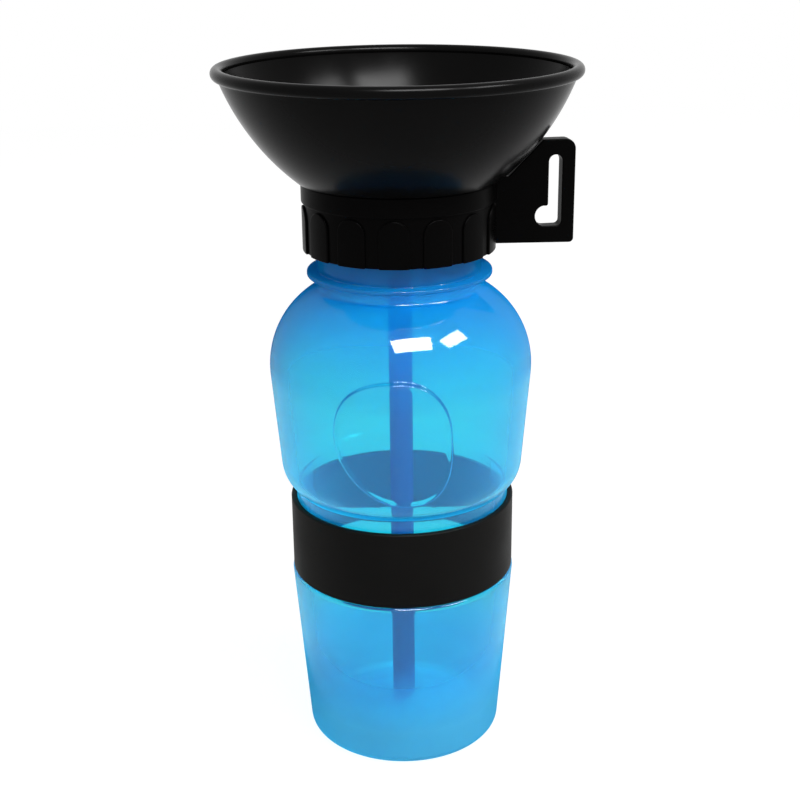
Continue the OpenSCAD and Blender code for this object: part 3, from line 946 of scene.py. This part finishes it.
@dataclass
class Collar(Assembly):
    """The screw collar with its grip pads and the hanger plate.

    The catch, and the groove behind it, hold the bowl's snap. A sink or a dip is how far one
    shape reaches into the next, and lobe_skip is how much of the slot's lobe, in degrees,
    makes way for its rounded corner.
    """

    bottle: Bottle
    wall: float = 2.5
    skirt_h: float = 18.7
    deck_t: float = 2.2
    rim_h: float = 2.0
    catch_out: float = 1.1
    catch_h: float = 1.2
    groove_out: float = 1.9
    ring_out: float = 0.8
    ring_h: float = 6.5
    pads: int = 14
    pad_w: float = 10.0
    pad_out: float = 0.7
    pad_sink: float = 0.3
    pad_round: float = 0.4
    pad_gap: float = 0.8
    pad_turn: float = -102.0
    seal_t: float = 1.4
    thread_gap: float = 0.35
    thread_turns: float = 1.25
    well_r: float = 12.5
    well_wall: float = 1.8
    well_depth: float = 11.3
    well_floor: float = 2.0
    boss_r: float = 7.6
    boss_h: float = 11.0
    port_in: float = 3.2
    port_out: float = 6.8
    port_span: float = 70.0
    plate_t: float = 5.2
    plate_reach: float = 59.8
    plate_rise: float = 11.6
    plate_slope: Point = (48.7, 36.9)
    plate_round: float = 3.5
    plate_low_round: float = 1.5
    plate_edge: float = 0.45
    plate_drop: float = 0.8
    plate_sink: float = 0.4
    plate_dip: float = 0.2
    slot_w: float = 4.6
    slot_rib: float = 4.5
    slot_top: float = 5.2
    slot_sill: float = 5.2
    lobe_r: float = 3.5
    lobe_back: float = 5.6
    lobe_skip: float = 28.0

    def __post_init__(self) -> None:
        """Works out the collar's heights and radii from the bottle's neck."""
        self.bore_r = self.bottle.neck_r + self.bottle.thread_depth + self.thread_gap
        self.outer_r = self.bore_r + self.wall
        self.ring_r = self.outer_r + self.ring_out
        self.deck_z = self.bottle.lip_z + self.seal_t + 2 * self.bottle.seat_gap
        self.deck_top = self.deck_z + self.deck_t
        self.skirt_z = self.deck_z - self.skirt_h
        self.rim_z = self.deck_top + self.rim_h
        self.ring_z = self.rim_z - self.ring_h
        self.well_z = self.deck_top - self.well_depth
        self.well_base = self.well_z - self.well_floor

    def shell(self) -> BMesh:
        """The collar's ring, deck, well and boss.

        Returns:
            The closed shell, still without its ports.
        """
        well_out, boss_out = self.well_r + self.well_wall, self.boss_r + self.well_wall
        boss_z = self.well_base - self.boss_h
        catch_r, groove_r = self.bore_r + self.catch_out, self.bore_r + self.groove_out
        catch_z = self.deck_top + self.catch_h
        return lathed([
            (0.0, self.well_base, 0), (self.boss_r, self.well_base, 0.4), (self.boss_r, boss_z, 0.3),
            (boss_out, boss_z, 0.4), (boss_out, self.well_base, 0.6), (well_out, self.well_base, 0.5),
            (well_out, self.deck_z, 0.8), (self.bore_r, self.deck_z, 0.5), (self.bore_r, self.skirt_z, 0.4),
            (self.outer_r, self.skirt_z, 0.5), (self.outer_r, self.ring_z, 0.25),
            (self.ring_r, self.ring_z, 0.4), (self.ring_r, self.rim_z, 0.5), (catch_r, self.rim_z, 0.3),
            (catch_r, catch_z, 0.2), (groove_r, catch_z, 0.2), (groove_r, self.deck_top, 0.2),
            (self.well_r, self.deck_top, 0.4), (self.well_r, self.well_z, 0.2), (0.0, self.well_z, 0)],
            closed=False)

    def ports(self) -> BMesh:
        """The two kidney-shaped ports in the well's floor.

        Returns:
            Their cutters, in one mesh.
        """
        mesh = bmesh.new()
        span, over = self.port_span / 2, 1.0
        for middle in (90.0, 270.0):
            loop = [*arc((0, 0), self.port_out, middle - span, middle + span, 15),
                    *arc((0, 0), self.port_in, middle + span, middle - span, 9)]
            face = mesh.faces.new([mesh.verts.new((x * MM, y * MM, (self.well_base - over) * MM))
                                   for x, y, _ in loop])
            top = bmesh.ops.extrude_face_region(mesh, geom=[face])["geom"]
            bmesh.ops.translate(mesh, verts=[v for v in top if isinstance(v, bmesh.types.BMVert)],
                                vec=(0, 0, (self.well_floor + 2 * over) * MM))
        return sealed(mesh)

    def pad(self) -> BMesh:
        """One grip pad.

        Returns:
            The pad, bent round the collar at +X.
        """
        half, high = self.pad_w / 2, self.ring_z - self.pad_gap
        outline = softened([*arc((0.0, high - half), half, 0, 180, 20), (-half, self.skirt_z, 0.5),
                            (half, self.skirt_z, 0.5)], True)
        mesh = moulded(outline, [], self.pad_out + self.pad_sink, self.pad_round,
                       [half * (i / 4) for i in range(-3, 4)], both=False)
        for v in mesh.verts:
            angle = v.co.x / (self.outer_r * MM)
            radius = (self.outer_r - self.pad_sink) * MM + v.co.z
            v.co = (radius * math.cos(angle), radius * math.sin(angle), v.co.y)
        bmesh.ops.recalc_face_normals(mesh, faces=mesh.faces)
        return mesh

    def slot(self) -> list[Point]:
        """The plate's J-shaped slot.

        Returns:
            Its outline.
        """
        side = self.plate_reach - self.slot_rib
        sill = self.skirt_z + self.slot_sill
        half = self.slot_w / 2
        top = self.rim_z + self.plate_rise - self.slot_top - half
        lobe = (side - self.lobe_back, sill + self.lobe_r)
        left = side - self.slot_w
        meet = lobe[1] + math.sqrt(self.lobe_r ** 2 - (left - lobe[0]) ** 2)
        start = bearing(Vector((left - lobe[0], meet - lobe[1]))) + self.lobe_skip
        low = self.plate_low_round
        return softened([
            *arc((side - low, sill + low), low, -90, 0, 8), *arc((side - half, top), half, 0, 180, 20),
            (left, meet, 0.8), *arc(lobe, self.lobe_r, start, 270, 20)], True)

    def plate(self) -> BMesh:
        """The hanger plate.

        Returns:
            The plate with its slot, standing in the XZ plane.
        """
        low = self.skirt_z - self.plate_drop
        top = self.rim_z + self.plate_rise
        foot = self.rim_z - self.plate_dip
        inside, reach = self.outer_r - self.plate_sink, self.plate_reach
        turn, low_turn = self.plate_round, self.plate_low_round
        outline = softened([
            (inside, self.skirt_z, 0), *arc((reach - low_turn, low + low_turn), low_turn, -90, 0, 8),
            *arc((reach - turn, top - turn), turn, 0, 90, 12), (self.plate_slope[0], top, 0.6),
            (self.plate_slope[1], foot, 0.8), (inside, foot, 0)], True)
        mesh = moulded(outline, [self.slot()], self.plate_t, self.plate_edge)
        half = self.plate_t / 2 * MM
        stand = Matrix(((1, 0, 0, 0), (0, 0, -1, half), (0, 1, 0, 0), (0, 0, 0, 1)))
        bmesh.ops.transform(mesh, matrix=stand, verts=mesh.verts)
        bmesh.ops.recalc_face_normals(mesh, faces=mesh.faces)
        return mesh

    def build(self) -> None:
        """Makes the collar, its thread, pads and plate."""
        ring = self.piece("collar_ring", self.shell(), COLLAR_BLACK, Body.COLLAR, "screw_collar")
        self.carve(ring, self.ports())
        bottle = self.bottle
        # Half a pitch lower, so that it lies between the turns of the neck's thread.
        start = bottle.lip_z - bottle.thread_drop - (bottle.thread_turns + 0.5) * bottle.thread_pitch
        thread = ridge(self.bore_r + bottle.thread_sink, self.bore_r - bottle.thread_depth, start,
                       bottle.thread_pitch, self.thread_turns)
        self.piece("collar_thread", thread, COLLAR_BLACK, Body.COLLAR)
        pads = bmesh.new()
        one = mesh_data("pad", self.pad())
        for i in range(self.pads):
            turn = Matrix.Rotation(math.radians(self.pad_turn + 360 * i / self.pads), 4, "Z")
            first = len(pads.verts)
            pads.from_mesh(one)
            pads.verts.ensure_lookup_table()
            bmesh.ops.transform(pads, matrix=turn, verts=pads.verts[first:])
        bpy.data.meshes.remove(one)
        self.piece("collar_pads", pads, COLLAR_BLACK, Body.COLLAR, flats=True)
        self.piece("hanger_plate", self.plate(), COLLAR_BLACK, Body.COLLAR, flats=True)


@dataclass
class Bowl(Assembly):
    """The drinking bowl with the outlet guard in its floor.

    The bow is how far the wall's outer face curves away from a straight line, and inner_bow
    how much more its inner face does. The groove is the seal's, as radius and half height.
    """

    collar: Collar
    rim_r: float = 60.24
    height: float = 37.395
    base_out: float = 1.15
    bow: float = 3.05
    inner_bow: float = 0.75
    wall: float = 2.0
    bead_r: float = 2.0
    bead_lead: float = 0.45
    floor_t: float = 2.0
    floor_fall: float = 0.8
    turn_gap: float = 0.3
    hub_r: float = 12.2
    hub_wall: float = 3.2
    hub_drop: float = 3.75
    o_ring_down: float = 1.9
    groove: Point = (10.4, 1.05)
    foot_wall: float = 2.2
    snap: float = 0.8
    snap_h: float = 0.6
    guard_t: float = 1.1
    guard_out: float = 2.0
    guard_round: float = 0.3
    guard_skirt: float = 4.0
    guard_holes: int = 6
    guard_hole_r: float = 1.5
    sleeve_wall: float = 1.5
    sleeve_in: float = 0.3
    seat_gap: float = 0.05
    key_w: float = 2.1
    key_h: float = 3.5

    def __post_init__(self) -> None:
        """Works out the bowl's radii and heights from the collar's."""
        self.under = self.collar.rim_z + self.turn_gap
        self.bore_r = self.hub_r - self.hub_wall
        self.hub_z = self.collar.well_z + self.hub_drop
        self.floor_top = self.under + self.floor_t
        self.guard_r = self.bore_r + self.guard_out
        self.guard_z = self.floor_top - self.guard_t
        self.sleeve_r = self.bore_r - self.seat_gap
        self.rim_c = Vector((self.rim_r - self.bead_r, self.under + self.height - self.bead_r))
        self.foot = Vector((self.collar.ring_r + self.base_out, self.under))
        tip = self.rim_c + Vector((self.bead_lead, 0.0))
        chord = tip - self.foot
        aside = Vector((-chord.y, chord.x)).normalized()
        self.arc_r = bowed(chord.length / 2, self.bow)
        self.arc_c = (tip + self.foot) / 2 + aside * (self.arc_r - self.bow)

    def _meet(self, radius: float) -> tuple[float, float]:
        """Where one face of the wall runs into the rim's bead.

        Args:
            radius: radius of that face's arc.

        Returns:
            Angles of the meeting point, in degrees: round the wall's arc and round the bead.
        """
        gap = self.rim_c - self.arc_c
        way = gap.normalized()
        along = (gap.length_squared + radius ** 2 - self.bead_r ** 2) / (2 * gap.length)
        aside = math.sqrt(radius ** 2 - along ** 2)
        point = self.arc_c + way * along + Vector((way.y, -way.x)) * aside
        return bearing(point - self.arc_c), bearing(point - self.rim_c)

    def dished(self, radius: float, start: float, end: float) -> list[Corner]:
        """The wall's inner face, which is bowed a little more than the outer one.

        Args:
            radius: radius of the arc that runs level with the outer face.
            start: angle on that arc at which the face starts, under the rim.
            end: angle at which it reaches the floor.

        Returns:
            The corners after the first, from the rim down.
        """
        top, low = (self.arc_c + radius * Vector((math.cos(math.radians(a)), math.sin(math.radians(a))))
                    for a in (start, end))
        half, middle = (low - top).length / 2, (low + top) / 2
        inwards = (self.arc_c - middle).normalized()
        bow = radius - math.sqrt(radius ** 2 - half ** 2) + self.inner_bow
        turned_r = bowed(half, bow)
        centre = middle + inwards * (turned_r - bow)
        first, last = (bearing(p - centre) for p in (top, low))
        return arc(tuple(centre), turned_r, first, last, ARC_STEPS)[1:]

    def shell(self) -> BMesh:
        """The bowl's hub, foot ring, floor, wall and rolled rim.

        Returns:
            The closed shell, still without its key slot.
        """
        inner_r = self.arc_r - self.wall
        out_a, bead_a = self._meet(self.arc_r)
        in_a, bead_b = self._meet(inner_r)
        start = bearing(self.foot - self.arc_c)
        floor_a = math.degrees(math.asin((self.floor_top + self.floor_fall - self.arc_c.y) / inner_r))
        outer = rounded(arc(tuple(self.arc_c), self.arc_r, start, out_a, ARC_STEPS), 0.5, 0.35)
        bead = arc(tuple(self.rim_c), self.bead_r, bead_a, bead_b + 360, ARC_STEPS)
        bead = rounded(bead[1:], last=0.35)
        inner = rounded(self.dished(inner_r, in_a, floor_a), last=2.5)
        deck = self.collar.deck_top
        groove_r, half = self.groove
        groove_z = deck - self.o_ring_down
        foot_r, foot_z = self.collar.bore_r + self.snap, deck + self.turn_gap
        foot_in, snap_r, snap_z = foot_r - self.foot_wall, foot_r + self.snap, foot_z + self.snap_h
        seat, seat_z = self.guard_r + self.seat_gap, self.guard_z - self.seat_gap
        return lathed([
            (self.bore_r, self.hub_z, 0.2), (self.hub_r, self.hub_z, 0.3),
            (self.hub_r, groove_z - half, 0.1), (groove_r, groove_z - half, 0.1),
            (groove_r, groove_z + half, 0.1), (self.hub_r, groove_z + half, 0.1),
            (self.hub_r, self.under, 0.3), (foot_in, self.under, 0.2), (foot_in, foot_z, 0.2),
            (snap_r, foot_z, 0.15), (snap_r, snap_z, 0.15), (foot_r, snap_z, 0.1),
            (foot_r, self.under, 0.1), *outer, *bead, *inner,
            (seat, self.floor_top, 0.2), (seat, seat_z, 0.1), (self.bore_r, seat_z, 0.1)])

    def key_slot(self) -> BMesh:
        """The slot across the hub's lower end.

        Returns:
            Its cutter.
        """
        mesh = bmesh.new()
        over = 1.0
        size = Matrix.Diagonal((2.2 * self.hub_r * MM, self.key_w * MM, (self.key_h + over) * MM, 1))
        middle = Matrix.Translation((0, 0, (self.hub_z + (self.key_h - over) / 2) * MM))
        bmesh.ops.create_cube(mesh, size=1.0, matrix=middle @ size)
        return mesh

    def guard(self) -> BMesh:
        """The holed plug in the bowl's floor.

        Returns:
            The plug, in place.
        """
        centres = circle((0, 0), self.sleeve_r / 2, self.guard_holes)
        holes = [circle(centre, self.guard_hole_r, 24) for centre in centres]
        mesh = moulded(circle((0, 0), self.guard_r, 144), holes, self.guard_t, self.guard_round)
        bmesh.ops.translate(mesh, verts=mesh.verts, vec=(0, 0, self.guard_z * MM))
        return mesh

    def guard_sleeve(self) -> BMesh:
        """The ring under the guard that holds it in the hub.

        Returns:
            The closed ring.
        """
        inside = self.sleeve_r - self.sleeve_wall
        low, high = self.guard_z - self.guard_skirt, self.guard_z + self.sleeve_in
        return lathed([(inside, low, 0.2), (self.sleeve_r, low, 0.4), (self.sleeve_r, high, 0),
                       (inside, high, 0)], steps=96)

    def build(self) -> None:
        """Makes the bowl and its guard."""
        shell = self.piece("bowl_dish", self.shell(), BOWL_BLACK, Body.BOWL, "bowl")
        self.carve(shell, self.key_slot())
        self.piece("guard_plate", self.guard(), COLLAR_BLACK, Body.BOWL, "outlet_guard", flats=True)
        self.piece("guard_sleeve", self.guard_sleeve(), COLLAR_BLACK, Body.BOWL)


@dataclass
class HiddenPieces:
    """The seals and the valve's rotor, which keep their CAD shapes."""

    seals: tuple[str, ...] = ("neck_seal", "valve_seat", "hub_o_ring", "tube_grommet")
    rotor: str = "valve_rotor"

    def dress(self) -> None:
        """Gives each of them its finish."""
        for name in (*self.seals, self.rotor):
            finish = ROTOR_WHITE if name == self.rotor else SEAL_GREY
            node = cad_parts[name]
            node.data.materials.clear()
            node.data.materials.append(finish.material())
            LOG.info("%s: CAD shape, dressed", name)


# Studio


@dataclass(frozen=True)
class SoftBox:
    """A rectangular lamp, placed by how the camera sees its direction from the bottle.

    Its light is the power that dull surfaces get, and its shine is the power of the
    reflection that glossy ones show.
    """

    name: str
    aside: float
    height: float
    distance: float
    width: float
    depth: float
    light: float
    shine: float


@dataclass
class Studio:
    """Camera, lamps, white floor and white surroundings.

    Lengths are in metres and the camera's angles in degrees. Its aim is how far to the left
    it looks past the bottle, and the target is where the lamps point.
    """

    turn: float = -9.0
    distance: float = 0.464
    eye: float = 0.2939
    pitch: float = 19.85
    roll: float = -0.65
    aim: float = 0.044
    lens: float = 63.36
    ambient: float = 0.45
    target: Place = (0.0, 0.0, 0.16)
    shine_nearer: float = 0.98
    floor_glow: float = 0.91
    floor_shade: float = 0.16
    floor_white: float = 0.8
    floor_size: float = 3.0
    floor_drop: float = 0.0001
    boxes: tuple[SoftBox, ...] = (
        SoftBox("front_box", aside=14.5, height=52.7, distance=1.1, width=0.58, depth=0.31,
                light=5.5, shine=30.0),
        SoftBox("side_box", aside=66.0, height=46.0, distance=1.6, width=0.58, depth=0.33,
                light=11.0, shine=26.0))

    def build(self) -> None:
        """Sets up everything that isn't the bottle."""
        self.camera()
        for box in self.boxes:
            self.lamp(box, shines=True)
            self.lamp(box, shines=False)
        self.floor()
        self.world()
        bpy.context.scene.view_settings.view_transform = "Standard"

    def camera(self) -> None:
        """The camera at the photograph's angle."""
        data = bpy.data.cameras.new("camera")
        data.lens = self.lens
        camera = linked("camera", data)
        turn = math.radians(self.turn)
        place = Vector((math.sin(turn) * self.distance, -math.cos(turn) * self.distance, self.eye))
        camera.matrix_world = (Matrix.Translation(place)
                               @ Matrix.Rotation(turn + math.radians(self.aim), 4, "Z")
                               @ Matrix.Rotation(math.radians(90 - self.pitch), 4, "X")
                               @ Matrix.Rotation(math.radians(self.roll), 4, "Z"))
        bpy.context.scene.camera = camera

    def lamp(self, box: SoftBox, shines: bool) -> None:
        """One of a softbox's two lamps.

        Args:
            box: its place, size and power.
            shines: whether it is the lamp that glossy surfaces reflect.
        """
        name = box.name + ("_shine" if shines else "_light")
        data = bpy.data.lights.new(name, "AREA")
        data.shape, data.size, data.size_y = "RECTANGLE", box.width, box.depth
        data.energy = box.shine if shines else box.light
        lamp = linked(name, data)
        aside, height = math.radians(box.aside + self.turn), math.radians(box.height)
        way = Vector((math.cos(height) * math.sin(aside), -math.cos(height) * math.cos(aside),
                      math.sin(height)))
        distance = box.distance * (self.shine_nearer if shines else 1.0)
        lamp.matrix_world = Matrix.Translation(Vector(self.target) + way * distance) @ (
            way.to_track_quat("Z", "Y").to_matrix().to_4x4())
        lamp.visible_diffuse = not shines
        lamp.visible_glossy = lamp.visible_transmission = shines

    def floor(self) -> None:
        """The white floor, which keeps the bottle's shadow."""
        mesh = bmesh.new()
        bmesh.ops.create_grid(mesh, x_segments=2, y_segments=2, size=self.floor_size / 2)
        bmesh.ops.translate(mesh, verts=mesh.verts, vec=(0, 0, -self.floor_drop))
        floor = linked("floor", mesh_data("floor", mesh))
        made = bpy.data.materials.new("floor_white")
        made.use_nodes = True
        nodes = Nodes(made.node_tree)
        glow = nodes.add("ShaderNodeEmission", inputs={"Strength": self.floor_glow})
        lit, white = (nodes.add("ShaderNodeBsdfDiffuse", inputs={"Color": rgba((grey, grey, grey))})
                      for grey in (self.floor_shade, self.floor_white))
        seen = nodes.add("ShaderNodeAddShader", inputs={0: glow, 1: lit})
        surface = nodes.mix(nodes.looking(), white, seen)
        nodes.add("ShaderNodeOutputMaterial", inputs={"Surface": surface})
        floor.data.materials.append(made)

    def world(self) -> None:
        """White surroundings that light the bottle plainly."""
        world = bpy.data.worlds.new("surroundings")
        world.use_nodes = True
        nodes = Nodes(world.node_tree)
        sky = nodes.add("ShaderNodeBackground", inputs={
            "Color": (1, 1, 1, 1), "Strength": self.ambient + (1 - self.ambient) * nodes.looking()})
        nodes.add("ShaderNodeOutputWorld", inputs={"Surface": sky})
        bpy.context.scene.world = world


def main() -> None:
    """Builds the model and its studio."""
    logging.basicConfig(level=logging.INFO, format="%(name)s: %(message)s")
    Studio().build()
    bottle = Bottle()
    bottle.build()
    DipTube().build()
    collar = Collar(bottle)
    collar.build()
    Bowl(collar).build()
    HiddenPieces().dress()


if __name__ == "__main__":
    main()
